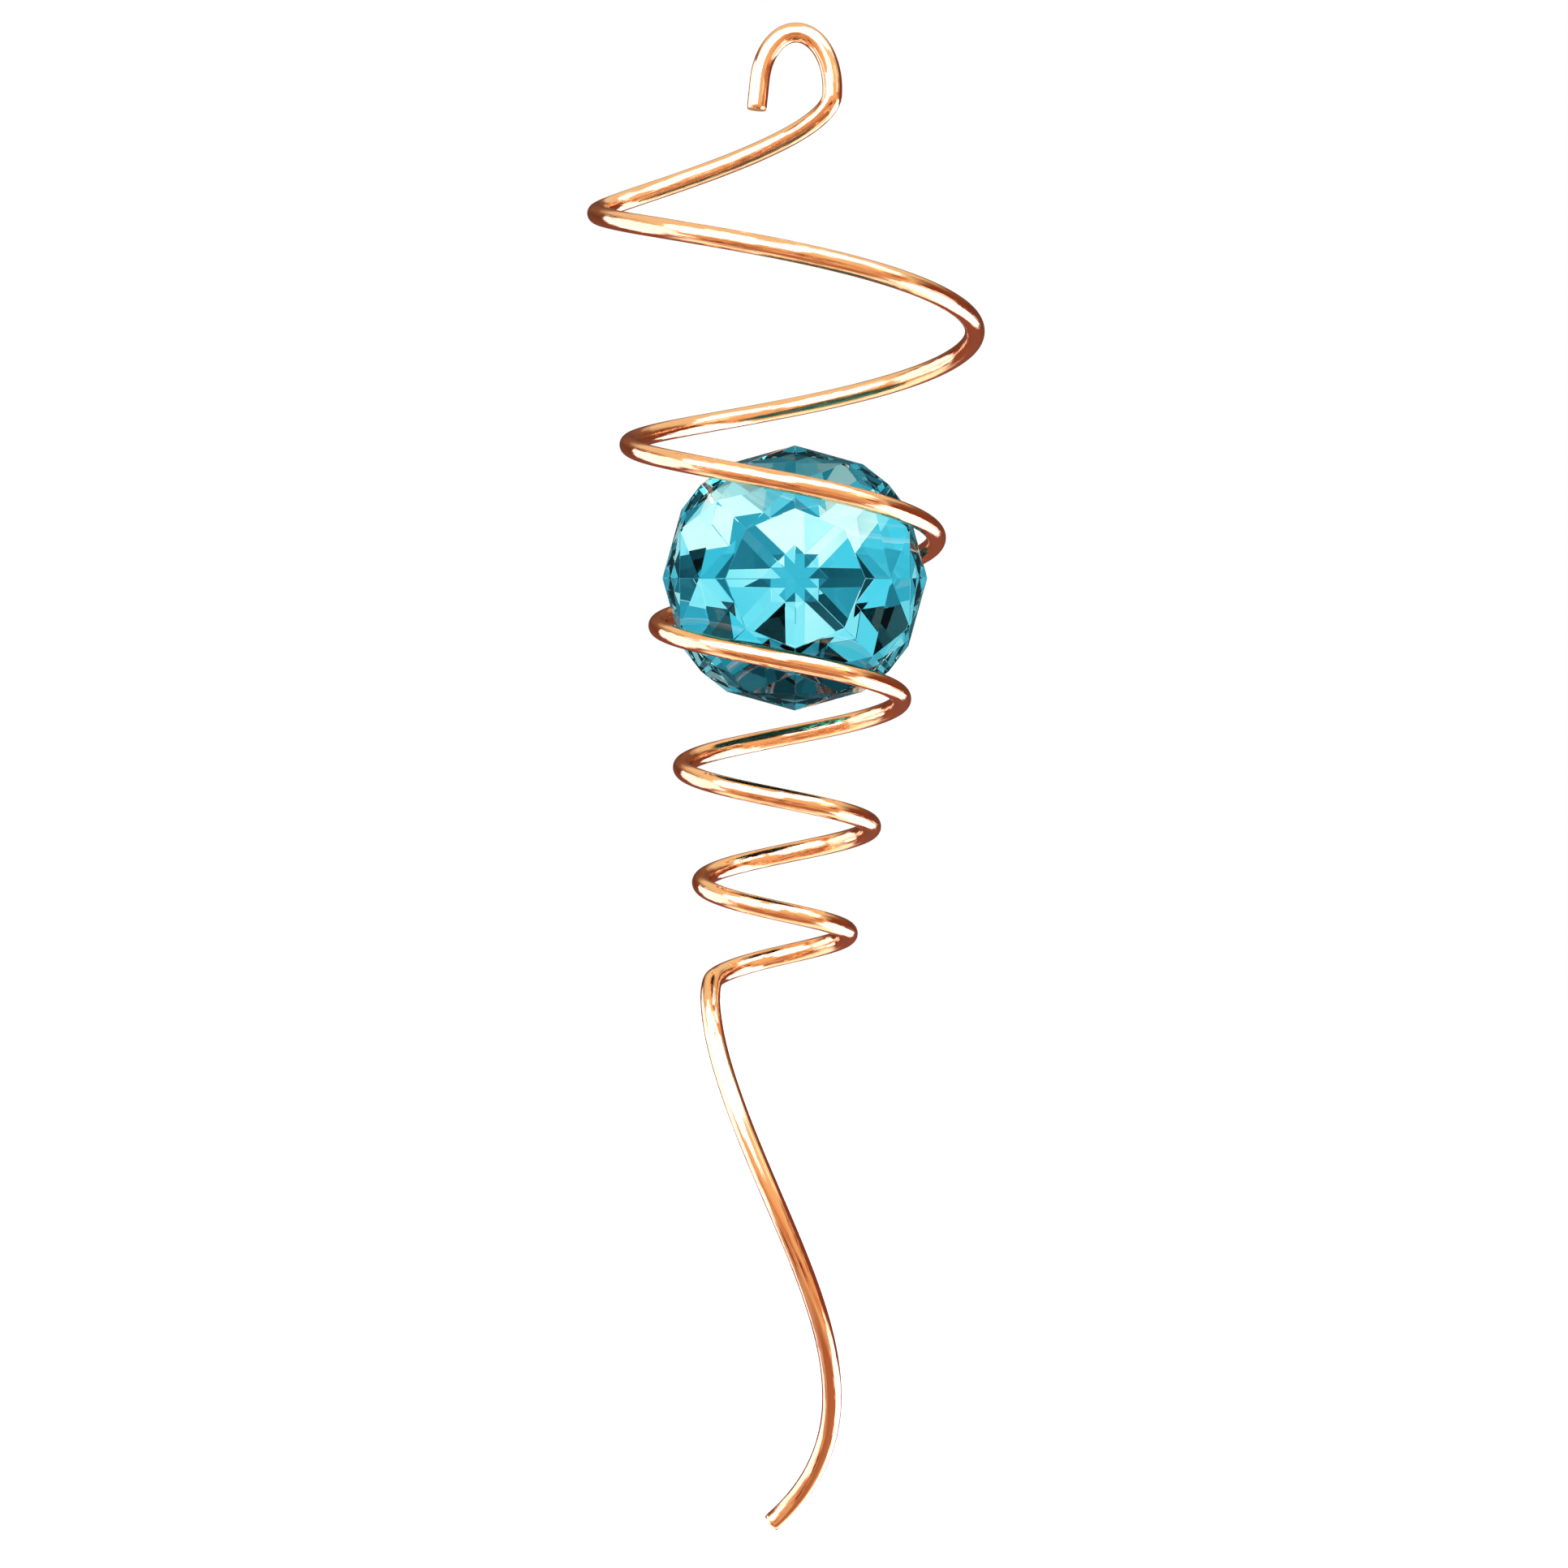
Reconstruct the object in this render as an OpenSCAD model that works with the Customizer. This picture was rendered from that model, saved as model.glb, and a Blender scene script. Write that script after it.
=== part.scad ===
// Hanging garden wind spinner.
// One round wire is bent into an open hook, a tapering left-handed coil and a long
// drawn-out tail. A faceted glass ball drops in from above and rests loose where the
// coil becomes narrower than the ball.
// Millimetres. +Z is up, +X is to the right, and the viewer stands at -Y.
// The origin is the inside top of the hook, the point that bears on whatever it hangs from.

/* [Wire] */
// Diameter of the round wire
wire_d = 3.8; // [3:0.1:3.8]
// Flat sides that stand for the round section
wire_sides = 16; // [8:2:24]

/* [Hook] */
// Half the inside width of the hook's eye
eye_half_w = 5; // [4:0.1:6]
// Height of the eye's rounded top, from its widest level to its inside top
eye_rise = 8.6; // [7:0.1:10]
// Length of the straight free leg
hook_leg = 5.8; // [4:0.1:8]
// Splay of the free leg away from vertical, in degrees
hook_splay = 6; // [0:1:12]
// Length of the straight leg that leads down to the coil
hook_stem = 1; // [0.5:0.1:2]

/* [Coil] */
// Turns from the first left-hand turning point to the start of the tail
coil_turns = 4.95; // [4.9:0.01:5]
// Depth of the first turning point below the hook's inside top
coil_depth = 32.2; // [31:0.1:36]
// Centreline radius at the top
coil_r_top = 37.6; // [37.6:0.1:42]
// Centreline radius at the bottom
coil_r_end = 12.3; // [12.3:0.1:15]
// How quickly the radius tapers: 1 is a straight cone, more is hollow-sided
coil_taper = 1.4; // [1.3:0.01:1.4]
// Drop of one turn at the top
pitch_top = 49.3; // [48.5:0.1:49.5]
// Drop of one turn at the bottom
pitch_end = 18.7; // [18.5:0.1:19.5]
// How quickly the pitch closes up towards the bottom
pitch_taper = 1.9; // [1.85:0.05:2]
// How far the coil's axis leans to the left from its top to its bottom
coil_lean = 3.7; // [3.5:0.1:4]

/* [Lead-in] */
// Pull of the hook's stem on the lead-in curve: small values bend it sharply
lead_stem_pull = 10; // [9:0.5:12]
// Pull of the coil's first turn on the lead-in curve
lead_coil_pull = 28; // [20:1:32]

/* [Tail] */
// Part of a turn that the tail makes
tail_turn = 0.78; // [0.7:0.01:0.85]
// Height of the tail
tail_drop = 105; // [80:1:120]
// Part of a turn over which the coil's last pitch fades out
tail_ease_in = 0.17; // [0.12:0.01:0.2]
// Part of a turn over which the tail curls up at its tip
tail_ease_out = 0.31; // [0.25:0.01:0.35]
// Pitch that the tail's tip is heading for
tail_tip_pitch = 68; // [40:1:90]
// Further lean of the axis to the left for each turn of tail
tail_lean = 3.3; // [2:0.1:6]

/* [Ball] */
// Diameter across the ball's corners
ball_d = 50; // [48:0.5:50]
// Depth of the ball's centre below the hook's inside top
ball_depth = 101.3; // [101.2:0.1:101.4]
// How far the resting ball's centre is to the left of the hook
ball_left = 0.2; // [0.1:0.1:0.3]
// How far the resting ball's centre is towards the viewer
ball_front = 1.2; // [1.1:0.1:1.3]
// Angle from each pole of the cut to the ring of corners round it
star_angle = 31; // [26:0.5:33]
// Backward tilt of the resting ball, in degrees
ball_tilt = 3; // [0:1:8]

/* [Hidden] */

copper_rgb = [0.84, 0.50, 0.33];
aqua_rgb = [0.16, 0.70, 0.82, 0.75];

// Steps along each stretch of the wire's path
hook_steps = 22;
lead_steps = 24;
steps_per_turn = 28;
tail_steps = 44;

// The hook's bend is part of an ellipse: half its width, and its height
bend_half_w = eye_half_w + wire_d / 2;
bend_rise = eye_rise + wire_d / 2;
// Place on the ellipse where the free leg carries straight on
leg_turn = 180 - atan(tan(hook_splay) * bend_rise / bend_half_w);
stem_foot = [bend_half_w, 0, -eye_rise - hook_stem];

// --- Curves ---------------------------------------------------------------

// Point at t, from 0 to 1, on the cubic Bezier curve with corners a, b, c and d
function bezier(a, b, c, d, t) =
    pow(1 - t, 3) * a + 3 * pow(1 - t, 2) * t * b + 3 * (1 - t) * t * t * c + t * t * t * d;

function unit(v) = v / norm(v);

// Part of the coil still to come after n turns, from 1 at the top to 0 at the bottom
function still_to_come(n) = max(0, 1 - n / coil_turns);

function coil_radius(n) =
    coil_r_end + (coil_r_top - coil_r_end) * pow(still_to_come(n), coil_taper);

// The pitch falls from pitch_top to pitch_end, and this is its sum over n turns.
function coil_drop(n) =
    pitch_end * n + (pitch_top - pitch_end) * coil_turns / (pitch_taper + 1)
    * (1 - pow(still_to_come(n), pitch_taper + 1));

// Point on a left-handed helix: 0 turns is the left, a quarter is the front
function helix(n, radius, axis_x, z) =
    [axis_x - radius * cos(360 * n), -radius * sin(360 * n), z];

function coil_point(n) =
    helix(n, coil_radius(n), -coil_lean * n / coil_turns, -coil_depth - coil_drop(n));

coil_start = coil_point(0);
coil_heading = unit(coil_point(0.001) - coil_start);

// The tail is the same helix drawn out: a curve says how far it has dropped
// after each part of a turn.
function tail_state(t) =
    bezier([0, 0],
           [tail_ease_in, pitch_end * tail_ease_in],
           [tail_turn - tail_ease_out, tail_drop - tail_tip_pitch * tail_ease_out],
           [tail_turn, tail_drop], t);

function tail_point(state) =
    helix(coil_turns + state[0], coil_r_end, -coil_lean - tail_lean * state[0],
          -coil_depth - coil_drop(coil_turns) - state[1]);

// --- The wire's centreline, from the hook's free end to the tail's tip ------

function hook_point(a) = [bend_half_w * cos(a), 0, -eye_rise + bend_rise * sin(a)];

leg_end = hook_point(leg_turn) - hook_leg * [sin(hook_splay), 0, cos(hook_splay)];

hook_path = concat([leg_end],
                   [for (i = [0:hook_steps]) hook_point(leg_turn * (1 - i / hook_steps))]);

lead_path = [for (i = [0:lead_steps - 1])
    bezier(stem_foot,
           stem_foot - [0, 0, lead_stem_pull],
           coil_start - coil_heading * lead_coil_pull,
           coil_start, i / lead_steps)];

coil_steps = round(coil_turns * steps_per_turn);
coil_path = [for (i = [0:coil_steps - 1]) coil_point(coil_turns * i / coil_steps)];

tail_path = [for (i = [0:tail_steps]) tail_point(tail_state(i / tail_steps))];

wire_path = concat(hook_path, lead_path, coil_path, tail_path);

// --- Sweep ------------------------------------------------------------------

function heading(path, i) =
    unit(path[min(i + 1, len(path) - 1)] - path[max(i - 1, 0)]);

// Side vectors that turn with the path and don't twist about it
function side_vectors(path) =
    [for (i = 0, s = unit(cross(heading(path, 0), [0, 1, 0])); i < len(path);
          i = i + 1,
          s = i < len(path)
              ? unit(s - (s * heading(path, i)) * heading(path, i)) : s) s];

// A round bar that follows the path, with flat ends square to it
module round_bar(path, d, sides) {
    last = len(path) - 1;
    side = side_vectors(path);
    points = [for (i = [0:last], k = [0:sides - 1])
        let (up = cross(side[i], heading(path, i)), a = 360 * k / sides)
        path[i] + d / 2 * (cos(a) * side[i] + sin(a) * up)];
    walls = [for (i = [0:last - 1], k = [0:sides - 1], half = [0, 1])
        let (a = i * sides + k, b = i * sides + (k + 1) % sides)
        half == 0 ? [a, b, b + sides] : [a, b + sides, a + sides]];
    ends = [[for (k = [sides - 1:-1:0]) k],
            [for (k = [0:sides - 1]) last * sides + k]];
    polyhedron(points = points, faces = concat(walls, ends), convexity = 10);
}

// --- The ball's cut ---------------------------------------------------------

// Every way to place x, y and z on the three axes with either sign
function mirrored(v) =
    [for (order = [[0, 1, 2], [0, 2, 1], [1, 0, 2], [1, 2, 0], [2, 0, 1], [2, 1, 0]],
          sx = [-1, 1], sy = [-1, 1], sz = [-1, 1])
        [sx * v[order[0]], sy * v[order[1]], sz * v[order[2]]]];

// Each pole is the centre of an eight-rayed star, and small triangles join the stars.
// Four rays run along the cut's own planes, and four run halfway between them.
straight_ray = [cos(star_angle), sin(star_angle), 0];
diagonal_ray = [cos(star_angle), sin(star_angle) * cos(45), sin(star_angle) * sin(45)];
cut_corners = concat(mirrored([1, 0, 0]), mirrored(straight_ray), mirrored(diagonal_ray),
                     mirrored(unit([1, 1, 0])), mirrored(unit([1, 1, 1])));

// --- Sub-parts ----------------------------------------------------------------

module spiral_wire() {
    color(copper_rgb)
        round_bar(wire_path, wire_d, wire_sides);
}

module crystal_ball() {
    color(aqua_rgb)
        translate([-ball_left, -ball_front, -ball_depth])
        rotate([ball_tilt, 0, 0])
        hull()
            polyhedron(points = ball_d / 2 * cut_corners,
                       faces = [[for (i = [0:len(cut_corners) - 1]) i]]);
}

spiral_wire();
crystal_ball();
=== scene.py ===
import math

import bmesh
import bpy
import numpy as np
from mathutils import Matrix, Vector


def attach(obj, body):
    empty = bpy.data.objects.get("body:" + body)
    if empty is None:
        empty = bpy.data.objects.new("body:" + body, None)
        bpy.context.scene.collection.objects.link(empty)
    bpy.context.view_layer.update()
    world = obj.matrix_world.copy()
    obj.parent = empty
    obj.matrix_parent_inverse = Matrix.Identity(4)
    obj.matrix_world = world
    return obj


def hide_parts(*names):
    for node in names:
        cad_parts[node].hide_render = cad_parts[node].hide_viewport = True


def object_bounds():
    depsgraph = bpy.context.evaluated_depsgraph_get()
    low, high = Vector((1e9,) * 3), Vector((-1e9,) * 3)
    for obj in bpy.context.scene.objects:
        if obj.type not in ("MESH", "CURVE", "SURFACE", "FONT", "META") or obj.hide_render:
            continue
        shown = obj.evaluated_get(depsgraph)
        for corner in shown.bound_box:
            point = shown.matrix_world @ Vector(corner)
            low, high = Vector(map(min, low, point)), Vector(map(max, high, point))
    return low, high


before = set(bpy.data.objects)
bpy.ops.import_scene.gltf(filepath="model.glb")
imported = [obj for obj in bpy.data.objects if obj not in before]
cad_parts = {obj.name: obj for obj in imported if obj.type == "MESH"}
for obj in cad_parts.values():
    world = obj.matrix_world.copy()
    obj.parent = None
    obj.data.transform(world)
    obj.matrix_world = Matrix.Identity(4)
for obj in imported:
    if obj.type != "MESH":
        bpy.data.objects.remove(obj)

# The wind spinner: a bent copper-coloured wire and a faceted glass ball that rests loose in it.
# Metres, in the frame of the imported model: the origin is the inside top of the hook.
MM = 0.001
cad_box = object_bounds()

# Driving dimensions of the wire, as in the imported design
WIRE_R = 1.9 * MM
# The CAD tube has flat sides, so a round tube is this much slimmer to stay within its box.
ROUND_TRIM = 0.045 * MM

# Hook: half the eye's inside width, the height of its rounded top, the free leg and its
# splay, and the straight stem on the other side
EYE_HALF_W = 5.0 * MM
EYE_RISE = 8.6 * MM
HOOK_LEG = 5.8 * MM
HOOK_SPLAY = math.radians(6)
HOOK_STEM = 1.0 * MM

# Coil: its turns, the depth of its first turning point, and its axis's lean to the left
COIL_TURNS = 4.95
COIL_DEPTH = 32.2 * MM
COIL_LEAN = 3.7 * MM
# Centreline radius at the top and at the bottom, and how quickly it tapers
COIL_R_TOP = 37.6 * MM
COIL_R_END = 12.3 * MM
COIL_TAPER = 1.4
# Drop of one turn at the top and at the bottom, and how quickly it closes up
PITCH_TOP = 49.3 * MM
PITCH_END = 18.7 * MM
PITCH_TAPER = 1.9

# Lead-in: the pull on its curve of the hook's stem and of the coil's first turn
LEAD_STEM_PULL = 10 * MM
LEAD_COIL_PULL = 28 * MM
# A small part of a turn, to find which way the coil sets off
FIRST_STEP = 0.001

# Tail: the part of a turn that it makes, its height, and its axis's lean for each turn
TAIL_TURN = 0.78
TAIL_DROP = 105 * MM
TAIL_LEAN = 3.3 * MM
# The parts of a turn over which the coil's last pitch fades out and the tip curls up,
# and the pitch that the tip is heading for
TAIL_EASE_IN = 0.17
TAIL_EASE_OUT = 0.31
TAIL_TIP_PITCH = 68 * MM

# Points on each length of the centreline, before they are spaced evenly
LEG_POINTS = 30
BEND_POINTS = 240
LEAD_POINTS = 400
COIL_POINTS = 4000
TAIL_POINTS = 600

# Fineness of the wire's mesh
SIDES = 36
RING_STEP = 0.65 * MM

# Rolling and bending leave the wire very slightly oval and uneven. The amounts are parts
# of its radius, the rates are radians for each metre of wire, and the sway is radians.
OVAL = 0.006
OVAL_RATE = 40
RIPPLE = 0.004
RIPPLE_RATE = 260
RIPPLE_SWAY = 3
RIPPLE_SWAY_RATE = 61

# How much the edges of the wire's cut ends are broken, and the ball's edges polished off
END_BREAK = 0.14 * MM
EDGE_POLISH = 0.09 * MM
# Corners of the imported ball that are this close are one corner.
SAME_CORNER = 0.01 * MM

# The camera is level, and its frame is this wide at the wire's axis.
CAMERA_PLACE = (-2.25 * MM, -794 * MM, -140.15 * MM)
FRAME_WIDTH = 296.4 * MM
SENSOR_WIDTH = 36

FLOOR_R = 2.5
FLOOR_SIDES = 96
# The floor is this far below the tail's tip.
FLOOR_GAP = 25 * MM


# --- The wire's centreline --------------------------------------------------

def bezier(corners, t):
    """Points at each t on the cubic Bezier curve with these four corners."""
    a, b, c, d = (np.asarray(corner, float) for corner in corners)
    t = np.asarray(t)[:, None]
    return (1 - t) ** 3 * a + 3 * (1 - t) ** 2 * t * b + 3 * (1 - t) * t * t * c + t ** 3 * d


def helix(n, radius, axis_x, z):
    """Points on a left-handed helix: 0 turns is the left, a quarter is the front."""
    turn = 2 * np.pi * n
    return np.stack([axis_x - radius * np.cos(turn), -radius * np.sin(turn), z], 1)


def coil_drop(n):
    """How far the coil has dropped after n turns, as its pitch closes up."""
    left = np.clip(1 - n / COIL_TURNS, 0, None)
    spare = (PITCH_TOP - PITCH_END) * COIL_TURNS / (PITCH_TAPER + 1)
    return PITCH_END * n + spare * (1 - left ** (PITCH_TAPER + 1))


def coil(n):
    """Points on the coil's centreline after each n turns."""
    n = np.asarray(n, float)
    left = np.clip(1 - n / COIL_TURNS, 0, None)
    radius = COIL_R_END + (COIL_R_TOP - COIL_R_END) * left ** COIL_TAPER
    return helix(n, radius, -COIL_LEAN * n / COIL_TURNS, -COIL_DEPTH - coil_drop(n))


def hook():
    """The free leg, then the elliptical bend over to the stem."""
    half_w = EYE_HALF_W + WIRE_R
    rise = EYE_RISE + WIRE_R
    start = math.pi - math.atan(math.tan(HOOK_SPLAY) * rise / half_w)
    turn = np.linspace(start, 0, BEND_POINTS)
    bend = np.stack([half_w * np.cos(turn), 0 * turn, rise * np.sin(turn) - EYE_RISE], 1)
    down = np.array([-math.sin(HOOK_SPLAY), 0, -math.cos(HOOK_SPLAY)])
    leg = bend[0] + np.linspace(HOOK_LEG, 0, LEG_POINTS, endpoint=False)[:, None] * down
    return np.vstack([leg, bend])


def lead_in(stem_top):
    """From the hook's stem round behind the axis to the coil's first turn."""
    foot = stem_top - np.array([0, 0, HOOK_STEM])
    start, ahead = coil([0, FIRST_STEP])
    heading = (ahead - start) / np.linalg.norm(ahead - start)
    corners = (foot, foot - np.array([0, 0, LEAD_STEM_PULL]), start - LEAD_COIL_PULL * heading, start)
    return bezier(corners, np.linspace(0, 1, LEAD_POINTS, endpoint=False))


def tail():
    """The helix drawn out: a curve says how far it has dropped after each part of a turn."""
    corners = ((0, 0), (TAIL_EASE_IN, PITCH_END * TAIL_EASE_IN),
               (TAIL_TURN - TAIL_EASE_OUT, TAIL_DROP - TAIL_TIP_PITCH * TAIL_EASE_OUT),
               (TAIL_TURN, TAIL_DROP))
    turned, dropped = bezier(corners, np.linspace(0, 1, TAIL_POINTS)).T
    z = -COIL_DEPTH - coil_drop(np.array(COIL_TURNS)) - dropped
    return helix(COIL_TURNS + turned, COIL_R_END, -COIL_LEAN - TAIL_LEAN * turned, z)


def evenly_spaced(path, step):
    """How far along each new point is, and the path through points about a step apart."""
    along = np.r_[0, np.cumsum(np.linalg.norm(np.diff(path, axis=0), axis=1))]
    stops = np.linspace(0, along[-1], round(along[-1] / step) + 1)
    return stops, np.stack([np.interp(stops, along, path[:, axis]) for axis in range(3)], 1)


def wire_path():
    """The whole centreline, from the hook's free end to the tail's tip."""
    hook_part = hook()
    coil_part = coil(np.linspace(0, COIL_TURNS, COIL_POINTS, endpoint=False))
    return evenly_spaced(np.vstack([hook_part, lead_in(hook_part[-1]), coil_part, tail()]), RING_STEP)


# --- Mesh building ------------------------------------------------------------

def new_object(name, data):
    """An object in the scene that holds this mesh, lamp or camera."""
    obj = bpy.data.objects.new(name, data)
    bpy.context.scene.collection.objects.link(obj)
    return obj


def mesh_object(name, built):
    """An object with the mesh that was built, whose workspace is freed."""
    mesh = bpy.data.meshes.new(name)
    built.to_mesh(mesh)
    built.free()
    return new_object(name, mesh)


def section_axes(path):
    """Two axes across the path at each point, which turn with it and don't twist."""
    heading = np.gradient(path, axis=0)
    heading /= np.linalg.norm(heading, axis=1)[:, None]
    side = np.zeros_like(heading)
    side[0] = np.cross(heading[0], [0, 1, 0])
    for i in range(len(path)):
        previous = side[max(i - 1, 0)]
        side[i] = previous - previous.dot(heading[i]) * heading[i]
        side[i] /= np.linalg.norm(side[i])
    return side, np.cross(side, heading)


def build_wire(name):
    """The round wire as one closed mesh, with its cut ends lightly broken at the edge."""
    along, path = wire_path()
    side, up = section_axes(path)
    far = along[:, None]
    angle = 2 * np.pi * np.arange(SIDES) / SIDES
    oval = OVAL * np.cos(2 * angle[None, :] + OVAL_RATE * far)
    sway = RIPPLE_SWAY * np.sin(RIPPLE_SWAY_RATE * far)
    ripple = RIPPLE * np.sin(RIPPLE_RATE * far + sway + angle[None, :])
    radius = (WIRE_R - ROUND_TRIM) * (1 + oval + ripple)
    radius[0] -= END_BREAK
    radius[-1] -= END_BREAK
    rings = (path[:, None, :] + radius[:, :, None]
             * (np.cos(angle)[None, :, None] * side[:, None, :]
                + np.sin(angle)[None, :, None] * up[:, None, :]))
    built = bmesh.new()
    # U counts the wire's own girths along it, and V is the part of the way round.
    uv = built.loops.layers.uv.new("wire")
    verts = [[built.verts.new(p) for p in ring] for ring in rings]
    girth = 2 * np.pi * WIRE_R
    for i in range(len(verts) - 1):
        for k in range(SIDES):
            ahead = (k + 1) % SIDES
            face = built.faces.new((verts[i][k], verts[i][ahead], verts[i + 1][ahead], verts[i + 1][k]))
            face.smooth = True
            corners = ((i, k), (i, k + 1), (i + 1, k + 1), (i + 1, k))
            for loop, (ring, step) in zip(face.loops, corners):
                loop[uv].uv = (along[ring] / girth, step / SIDES)
    for ring, order in ((verts[0], -1), (verts[-1], 1)):
        cap = built.faces.new(ring[::order])
        cap.material_index = 1
    built.normal_update()
    return mesh_object(name, built)


def build_ball(name, source):
    """The ball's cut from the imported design, with every edge polished off by a hair."""
    built = bmesh.new()
    built.from_mesh(source.data)
    bmesh.ops.remove_doubles(built, verts=built.verts, dist=SAME_CORNER)
    bmesh.ops.bevel(built, geom=built.edges, offset=EDGE_POLISH, segments=2, profile=0.6,
                    affect="EDGES", clamp_overlap=True)
    for face in built.faces:
        face.smooth = False
    return mesh_object(name, built)


# --- Nodes ------------------------------------------------------------------------

def add(tree, kind, inputs=None, **settings):
    """A new node. Its inputs are linked where the value is a socket, and set otherwise."""
    node = tree.nodes.new(kind)
    for key, value in settings.items():
        setattr(node, key, value)
    for key, value in (inputs or {}).items():
        if isinstance(value, bpy.types.NodeSocket):
            tree.links.new(value, node.inputs[key])
        else:
            node.inputs[key].default_value = value
    return node


def maths(tree, operation, *values):
    """The number that a maths node makes of sockets and numbers."""
    return add(tree, "ShaderNodeMath", dict(enumerate(values)), operation=operation).outputs["Value"]


def vector_maths(tree, operation, *values):
    """The vector that a vector maths node makes of sockets and vectors."""
    node = add(tree, "ShaderNodeVectorMath", dict(enumerate(values)), operation=operation)
    return node.outputs["Vector"]


def dot(tree, ray, axis):
    """How much of the ray points along an axis."""
    node = add(tree, "ShaderNodeVectorMath", {0: ray, 1: axis}, operation="DOT_PRODUCT")
    return node.outputs["Value"]


def ramped(tree, value, start, end, low=0, high=1, shape="LINEAR"):
    """low until the value reaches start, high from end on, and a ramp between."""
    limits = {"From Min": start, "From Max": end, "To Min": low, "To Max": high}
    node = add(tree, "ShaderNodeMapRange", {"Value": value, **limits}, interpolation_type=shape)
    return node.outputs["Result"]


def colour_ramp(tree, factor, stops):
    """Colour that follows a factor through stops of (place, colour)."""
    ramp = add(tree, "ShaderNodeValToRGB", {"Fac": factor})
    elements = ramp.color_ramp.elements
    while len(elements) < len(stops):
        elements.new(0.5)
    for element, (place, colour) in zip(elements, stops):
        element.position = place
        element.color = (*colour, 1)
    return ramp.outputs["Color"]


def mixed(tree, factor, low, high):
    """low where factor is 0 and high where it is 1; either is a socket or a colour."""
    mix = add(tree, "ShaderNodeMix", {"Factor": factor}, data_type="RGBA")
    for socket, value in (("A", low), ("B", high)):
        if isinstance(value, bpy.types.NodeSocket):
            tree.links.new(value, mix.inputs[socket])
        else:
            mix.inputs[socket].default_value = (*value, 1)
    return mix.outputs["Result"]


# --- Materials ------------------------------------------------------------------
# Each list of tones gives (place, colour) along its noise.

COPPER_TONES = (
    (0.30, (0.94, 0.52, 0.25)),
    (0.55, (0.95, 0.55, 0.28)),
    (0.78, (0.88, 0.43, 0.19)),
)
# Where the copper's haze starts and is full, and its roughness there
HAZE_START = 0.35
HAZE_FULL = 0.75
POLISHED = 0.03
HAZY = 0.10
DRAW_LINE_DEPTH = 0.07 * MM

CUT_END_TONES = ((0.3, (0.62, 0.38, 0.14)), (0.7, (0.80, 0.55, 0.25)))
SAW_MARK_SCALE = 2600
SAW_MARK_DEPTH = 0.03 * MM

AQUA_TONES = ((0.3, (0.04, 0.57, 0.75)), (0.7, (0.07, 0.63, 0.80)))
CLOUD_SCALE = 45
GLASS_IOR = 1.52

FLOOR_TONES = ((0.3, (0.93, 0.93, 0.93)), (0.7, (0.95, 0.95, 0.95)))
GRAIN_SCALE = 30


def new_material(name):
    """A material, its node tree and its shader."""
    material = bpy.data.materials.new(name)
    material.use_nodes = True
    tree = material.node_tree
    return material, tree, tree.nodes["Principled BSDF"]


def surface_noise(tree, stretch, scale, detail):
    """Noise on the wire's own surface: stretch is (along, round)."""
    where = add(tree, "ShaderNodeUVMap", uv_map="wire")
    mapped = add(tree, "ShaderNodeMapping", {"Vector": where.outputs["UV"], "Scale": (*stretch, 1)})
    noise = add(tree, "ShaderNodeTexNoise",
                {"Vector": mapped.outputs["Vector"], "Scale": scale, "Detail": detail, "Roughness": 0.6})
    return noise.outputs["Fac"]


def solid_noise(tree, scale, detail):
    """Noise through the object's own space, in metres."""
    where = add(tree, "ShaderNodeTexCoord").outputs["Object"]
    noise = add(tree, "ShaderNodeTexNoise", {"Vector": where, "Scale": scale, "Detail": detail})
    return noise.outputs["Fac"]


def copper_material():
    """Polished copper plate with lengthwise draw lines, handling haze and warm tarnish."""
    material, tree, shader = new_material("polished_copper")
    draw_lines = surface_noise(tree, stretch=(0.9, 24), scale=1, detail=3)
    haze = surface_noise(tree, stretch=(0.35, 1.2), scale=2.2, detail=5)
    roughness = ramped(tree, haze, HAZE_START, HAZE_FULL, POLISHED, HAZY)
    bump = add(tree, "ShaderNodeBump",
               {"Height": draw_lines, "Strength": 1.0, "Distance": DRAW_LINE_DEPTH})
    tree.links.new(colour_ramp(tree, haze, COPPER_TONES), shader.inputs["Base Color"])
    tree.links.new(roughness, shader.inputs["Roughness"])
    tree.links.new(bump.outputs["Normal"], shader.inputs["Normal"])
    shader.inputs["Metallic"].default_value = 1
    return material


def cut_end_material():
    """The sawn ends, where the plating stops and the lighter metal shows."""
    material, tree, shader = new_material("cut_end")
    saw_marks = solid_noise(tree, SAW_MARK_SCALE, detail=3)
    bump = add(tree, "ShaderNodeBump",
               {"Height": saw_marks, "Strength": 0.3, "Distance": SAW_MARK_DEPTH})
    tree.links.new(colour_ramp(tree, saw_marks, CUT_END_TONES), shader.inputs["Base Color"])
    tree.links.new(bump.outputs["Normal"], shader.inputs["Normal"])
    shader.inputs["Metallic"].default_value = 0.7
    shader.inputs["Roughness"].default_value = 0.38
    return material


def glass_material():
    """Clear aqua glass, whose colour deepens a little in soft clouds."""
    material, tree, shader = new_material("aqua_glass")
    clouds = solid_noise(tree, CLOUD_SCALE, detail=2)
    tree.links.new(colour_ramp(tree, clouds, AQUA_TONES), shader.inputs["Base Color"])
    shader.inputs["Transmission Weight"].default_value = 1
    shader.inputs["IOR"].default_value = GLASS_IOR
    # The studio tells the glass from the copper by this perfect smoothness.
    shader.inputs["Roughness"].default_value = 0
    return material


def floor_material():
    """Pale matt board with a faint grain."""
    material, tree, shader = new_material("pale_floor")
    grain = solid_noise(tree, GRAIN_SCALE, detail=4)
    tree.links.new(colour_ramp(tree, grain, FLOOR_TONES), shader.inputs["Base Color"])
    shader.inputs["Roughness"].default_value = 0.9
    return material


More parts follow.
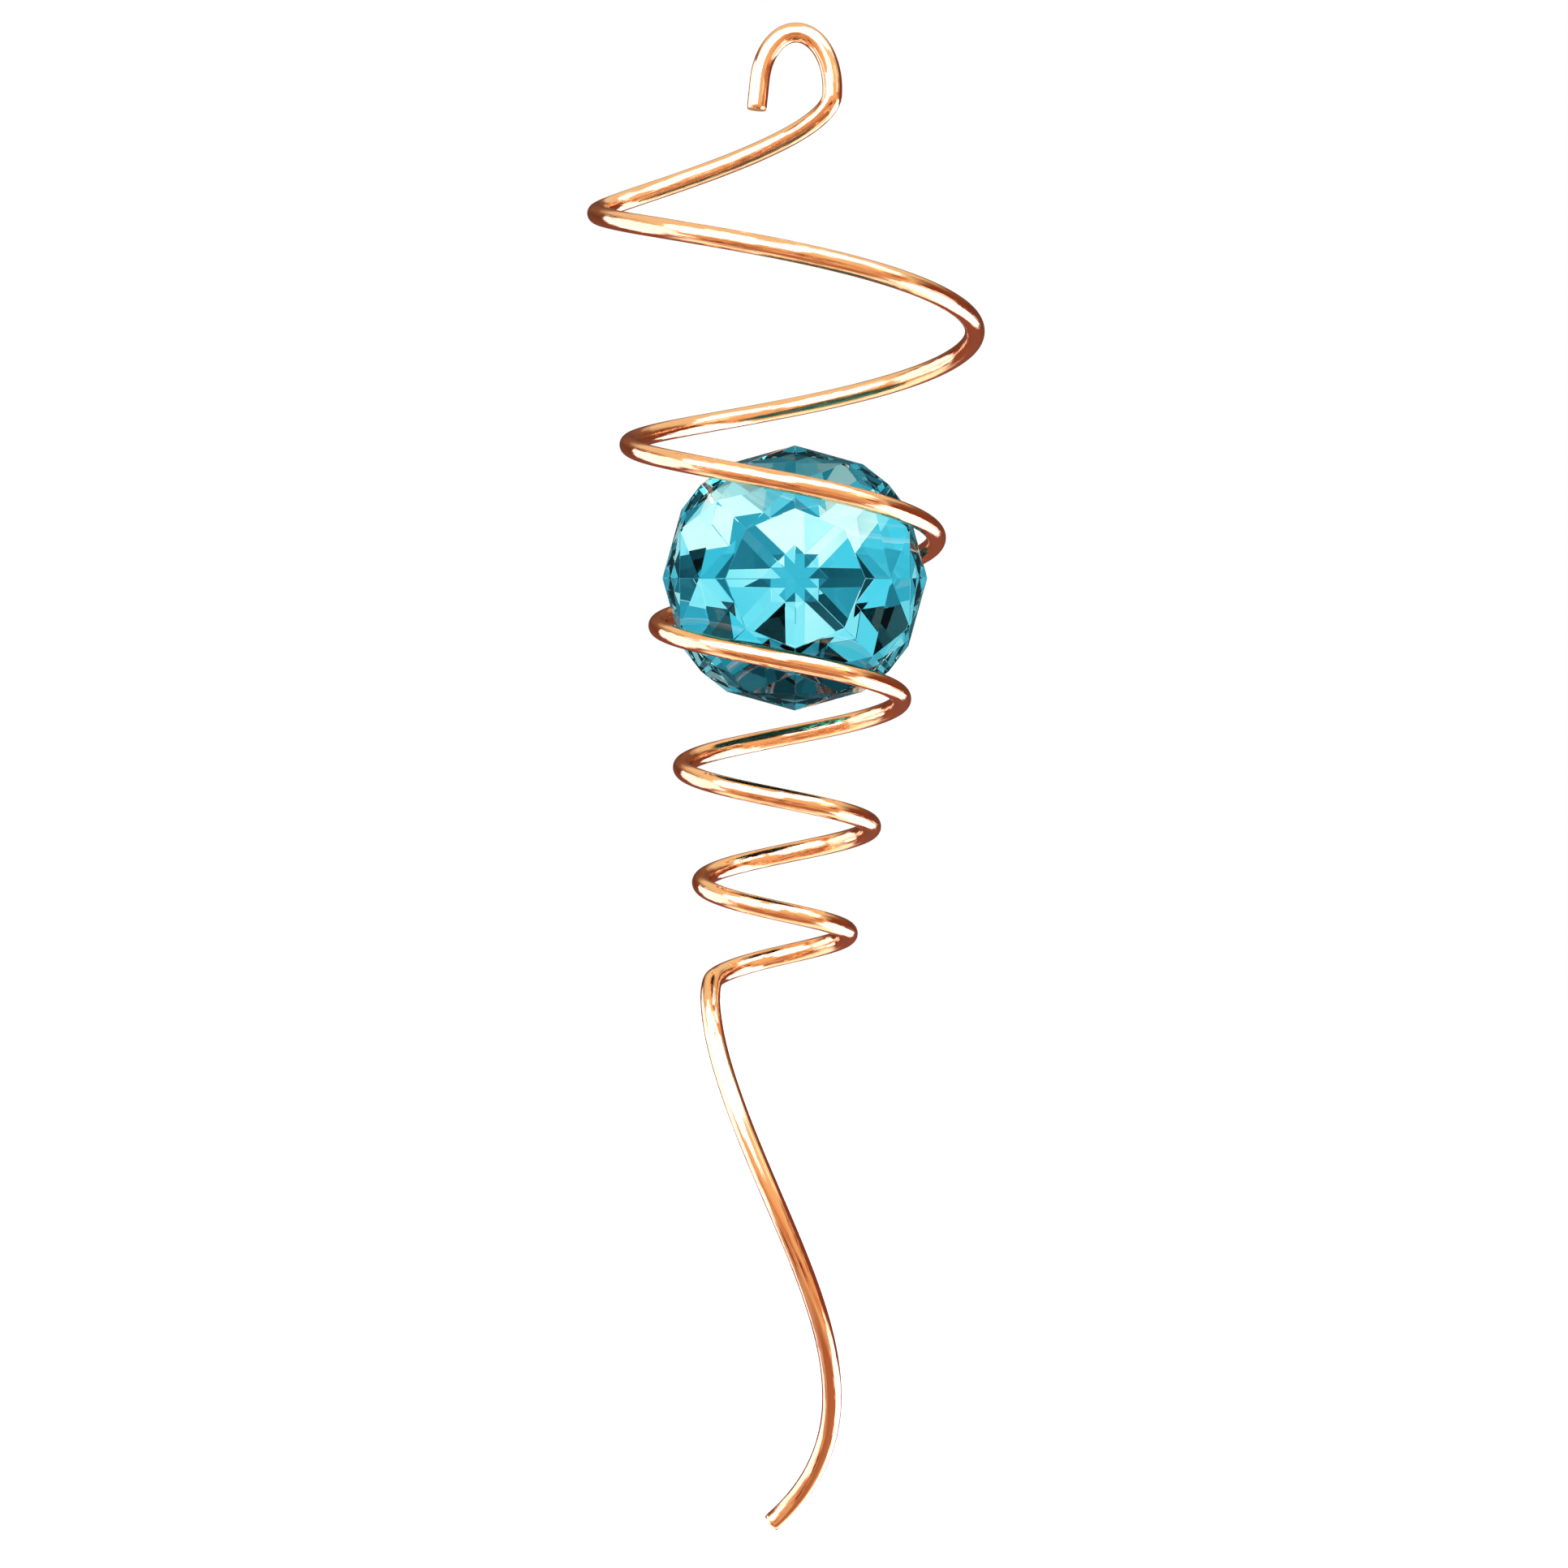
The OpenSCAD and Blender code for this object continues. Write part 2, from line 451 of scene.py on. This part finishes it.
# --- Studio -----------------------------------------------------------------------
# The copper and the glass each see a room of their own, so that both read well.
# Colours are light levels. A panel is at (azimuth, elevation) in degrees, and its half
# width, half height and soft edge are tangents of its angles.

# The metal's room, from straight down at 0 to straight up at 1
FRONT_WALL = (
    (0.00, (0.55, 0.28, 0.18)),
    (0.10, (0.45, 0.18, 0.12)),
    (0.20, (0.98, 0.74, 0.54)),
    (0.29, (0.65, 0.30, 0.17)),
    (0.38, (0.98, 0.66, 0.44)),
    (0.52, (1.00, 0.76, 0.54)),
    (0.70, (1.02, 0.96, 0.82)),
    (1.00, (0.98, 0.92, 0.74)),
)
BACK_WALL = (
    (0.00, (1.60, 1.65, 1.70)),
    (0.12, (1.60, 1.65, 1.70)),
    (0.19, (0.32, 0.11, 0.08)),
    (0.60, (0.16, 0.06, 0.04)),
    (0.74, (0.28, 0.13, 0.07)),
    (0.82, (0.94, 0.84, 0.66)),
    (1.00, (0.98, 0.92, 0.74)),
)
METAL_PANELS = (
    {"at": (105, 4), "half": (0.50, 0.26), "soft": 0.05, "light": (0.26, 0.07, 0.05)},
    {"at": (110, -38), "half": (0.70, 0.42), "soft": 0.05, "light": (2.6, 2.9, 3.9)},
    {"at": (-102, -4), "half": (0.58, 0.55), "soft": 0.06, "light": (2.0, 2.15, 3.0)},
    {"at": (-30, 28), "half": (0.80, 0.48), "soft": 0.05, "light": (3.6, 4.0, 6.5)},
    {"at": (52, 50), "half": (0.42, 0.32), "soft": 0.04, "light": (3.6, 4.0, 6.5)},
    {"at": (8, -26), "half": (0.25, 0.08), "soft": 0.04, "light": (0.28, 0.06, 0.06)},
    {"at": (-50, -38), "half": (0.30, 0.08), "soft": 0.04, "light": (0.28, 0.07, 0.05)},
    {"at": (64, 2), "half": (0.12, 0.18), "soft": 0.05, "light": (0.40, 0.13, 0.08)},
)
# The walls change over this far to the front and back of straight sideways.
WALL_BLEND = 0.15
# The metal's room wavers by noise of this scale, by this much.
WAVER_SCALE = 4.0
WAVER = 0.35

# The glass's room, from its darkest gaps to its brightest windows
GLASS_TONES = (
    (0.04, (0.0, 0.0, 0.0)),
    (0.10, (0.06, 0.10, 0.11)),
    (0.24, (0.20, 0.32, 0.36)),
    (0.42, (0.60, 0.78, 0.82)),
    (0.66, (1.2, 1.15, 1.15)),
    (0.86, (4.5, 1.5, 1.3)),
    (1.00, (13.0, 2.0, 1.5)),
)
GLASS_PANELS = (
    {"at": (-160, -14), "half": (0.16, 0.12), "soft": 0.02, "light": (12.0, 2.0, 1.5)},
    {"at": (-122, -10), "half": (0.12, 0.16), "soft": 0.02, "light": (0.0, 0.0, 0.0)},
    {"at": (139, -3), "half": (0.08, 0.10), "soft": 0.02, "light": (0.0, 0.0, 0.0)},
)
WINDOW_SCALE = 4.6
# The windows' tones shift with noise of this scale, by this much.
SHIFT_SCALE = 6.0
SHIFT = 0.7
# They rise by this much from level to straight down.
RISE_DOWNWARDS = 0.5
# Between these steepnesses the glass's room falls to this part of its light.
STEEP_START = 0.42
STEEP_FULL = 0.75
STEEP_LIGHT = 0.15

# What the outside of the glass reflects, what lights matt surfaces, and the background
GLASS_SHEEN = (0.04, 0.10, 0.12)
MATT_LIGHT = (1.2, 1.2, 1.2)
WHITE = (1, 1, 1)

# A ray has to point at least this much towards a panel to meet it.
TOWARDS_PANEL = 0.02


def direction(azimuth, elevation):
    """Unit vector: azimuth 0 is towards the viewer (-Y), and 90 is +X."""
    a = math.radians(azimuth)
    e = math.radians(elevation)
    return Vector((math.sin(a) * math.cos(e), -math.cos(a) * math.cos(e), math.sin(e)))


def panel_mask(tree, ray, azimuth, elevation, half_w, half_h, soft):
    """1 where a ray meets a rectangular panel, fading over soft at its edges."""
    centre = direction(azimuth, elevation)
    across = Vector((centre.y, -centre.x, 0)).normalized()
    upward = across.cross(centre).normalized()
    depth = dot(tree, ray, centre)
    mask = maths(tree, "GREATER_THAN", depth, TOWARDS_PANEL)
    for axis, half in ((across, half_w), (upward, half_h)):
        tangent = maths(tree, "DIVIDE", dot(tree, ray, axis), depth)
        off_centre = maths(tree, "ABSOLUTE", tangent)
        fade = ramped(tree, off_centre, half - soft, half + soft, 1, 0, "SMOOTHSTEP")
        mask = maths(tree, "MULTIPLY", mask, fade)
    return mask


def with_panels(tree, ray, room, panels):
    """The room with each panel laid over it in turn."""
    for panel in panels:
        mask = panel_mask(tree, ray, *panel["at"], *panel["half"], panel["soft"])
        room = mixed(tree, mask, room, panel["light"])
    return room


def warped(tree, ray, scale, amount):
    """The ray bent a little by noise, so that the room's edges aren't ruler straight."""
    noise = add(tree, "ShaderNodeTexNoise", {"Vector": ray, "Scale": scale, "Detail": 2})
    offset = vector_maths(tree, "SUBTRACT", noise.outputs["Color"], (0.5, 0.5, 0.5))
    bent = vector_maths(tree, "MULTIPLY_ADD", offset, (amount, amount, amount), ray)
    return vector_maths(tree, "NORMALIZE", bent)


def metal_room(tree, ray):
    """What the copper reflects: one wall in front and another behind, and the panels."""
    ray = warped(tree, ray, WAVER_SCALE, WAVER)
    parts = add(tree, "ShaderNodeSeparateXYZ", {"Vector": ray})
    height = ramped(tree, parts.outputs["Z"], -1, 1)
    behind = ramped(tree, parts.outputs["Y"], -WALL_BLEND, WALL_BLEND)
    walls = mixed(tree, behind, colour_ramp(tree, height, FRONT_WALL), colour_ramp(tree, height, BACK_WALL))
    return with_panels(tree, ray, walls, METAL_PANELS)


def glass_room(tree, ray):
    """What the glass refracts: many windows and gaps, brighter downwards."""
    cells = add(tree, "ShaderNodeTexVoronoi", {"Vector": ray, "Scale": WINDOW_SCALE})
    window = add(tree, "ShaderNodeSeparateColor", {"Color": cells.outputs["Color"]})
    noise = add(tree, "ShaderNodeTexNoise", {"Vector": ray, "Scale": SHIFT_SCALE})
    shift = maths(tree, "SUBTRACT", noise.outputs["Fac"], 0.5)
    tone = maths(tree, "MULTIPLY_ADD", shift, SHIFT, window.outputs["Red"])
    height = add(tree, "ShaderNodeSeparateXYZ", {"Vector": ray}).outputs["Z"]
    tone = maths(tree, "MULTIPLY_ADD", height, -RISE_DOWNWARDS, tone)
    room = with_panels(tree, ray, colour_ramp(tree, tone, GLASS_TONES), GLASS_PANELS)
    # Straight up and straight down are dark, which deepens the ball's rim.
    steep = ramped(tree, maths(tree, "ABSOLUTE", height), STEEP_START, STEEP_FULL)
    dimmed = add(tree, "ShaderNodeVectorMath", {0: room, "Scale": STEEP_LIGHT}, operation="SCALE")
    return mixed(tree, steep, room, dimmed.outputs["Vector"])


def studio_world():
    """White to the camera, even light for matt surfaces, and a room each for copper and glass.

    Only the glass is smooth enough for singular rays, so they tell it from the copper.
    """
    world = bpy.data.worlds.new("studio")
    bpy.context.scene.world = world
    world.use_nodes = True
    tree = world.node_tree
    ray = add(tree, "ShaderNodeTexCoord").outputs["Generated"]
    kind = add(tree, "ShaderNodeLightPath").outputs
    glass = mixed(tree, kind["Is Transmission Ray"], GLASS_SHEEN, glass_room(tree, ray))
    room = mixed(tree, kind["Is Singular Ray"], metal_room(tree, ray), glass)
    room = mixed(tree, kind["Is Diffuse Ray"], room, MATT_LIGHT)
    room = mixed(tree, kind["Is Camera Ray"], room, WHITE)
    tree.links.new(room, tree.nodes["Background"].inputs["Color"])


def soft_light(name, azimuth, elevation, distance, size, power, target):
    """A square area light that faces the target."""
    lamp = bpy.data.lights.new(name, "AREA")
    lamp.size = size
    lamp.energy = power
    obj = new_object(name, lamp)
    obj.location = target + distance * direction(azimuth, elevation)
    obj.rotation_euler = (target - obj.location).to_track_quat("-Z", "Y").to_euler()
    obj.visible_camera = False


def build_floor(z):
    """A pale disc below the tail's tip, left out of reflections and refractions."""
    built = bmesh.new()
    bmesh.ops.create_circle(built, cap_ends=True, segments=FLOOR_SIDES, radius=FLOOR_R)
    obj = mesh_object("floor", built)
    obj.location.z = z
    obj.data.materials.append(floor_material())
    obj.visible_glossy = False
    obj.visible_transmission = False


def build_camera():
    """Level with the spinner's middle, with the whole of it in a square frame."""
    data = bpy.data.cameras.new("camera")
    data.sensor_width = SENSOR_WIDTH
    data.lens = SENSOR_WIDTH * -CAMERA_PLACE[1] / FRAME_WIDTH
    camera = new_object("camera", data)
    camera.location = CAMERA_PLACE
    camera.rotation_euler = (math.pi / 2, 0, 0)
    bpy.context.scene.camera = camera


# --- Assembly ---------------------------------------------------------------------

build_camera()

wire = build_wire("copper_wire")
wire.data.materials.append(copper_material())
wire.data.materials.append(cut_end_material())
# No wire shows through the glass, as in the photograph.
wire.visible_transmission = False
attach(wire, "spiral")
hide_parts("spiral_wire")

ball = build_ball("glass_ball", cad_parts["crystal_ball"])
ball.data.materials.append(glass_material())
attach(ball, "ball")
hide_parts("crystal_ball")

studio_world()
low, high = cad_box
middle = Vector([(a + b) / 2 for a, b in zip(low, high)])
soft_light("key_light", azimuth=-35, elevation=50, distance=0.9, size=0.35, power=1.5, target=middle)
soft_light("fill_light", azimuth=60, elevation=20, distance=1.0, size=0.3, power=0.3, target=middle)
build_floor(low[2] - FLOOR_GAP)
bpy.context.scene.view_settings.view_transform = "Standard"
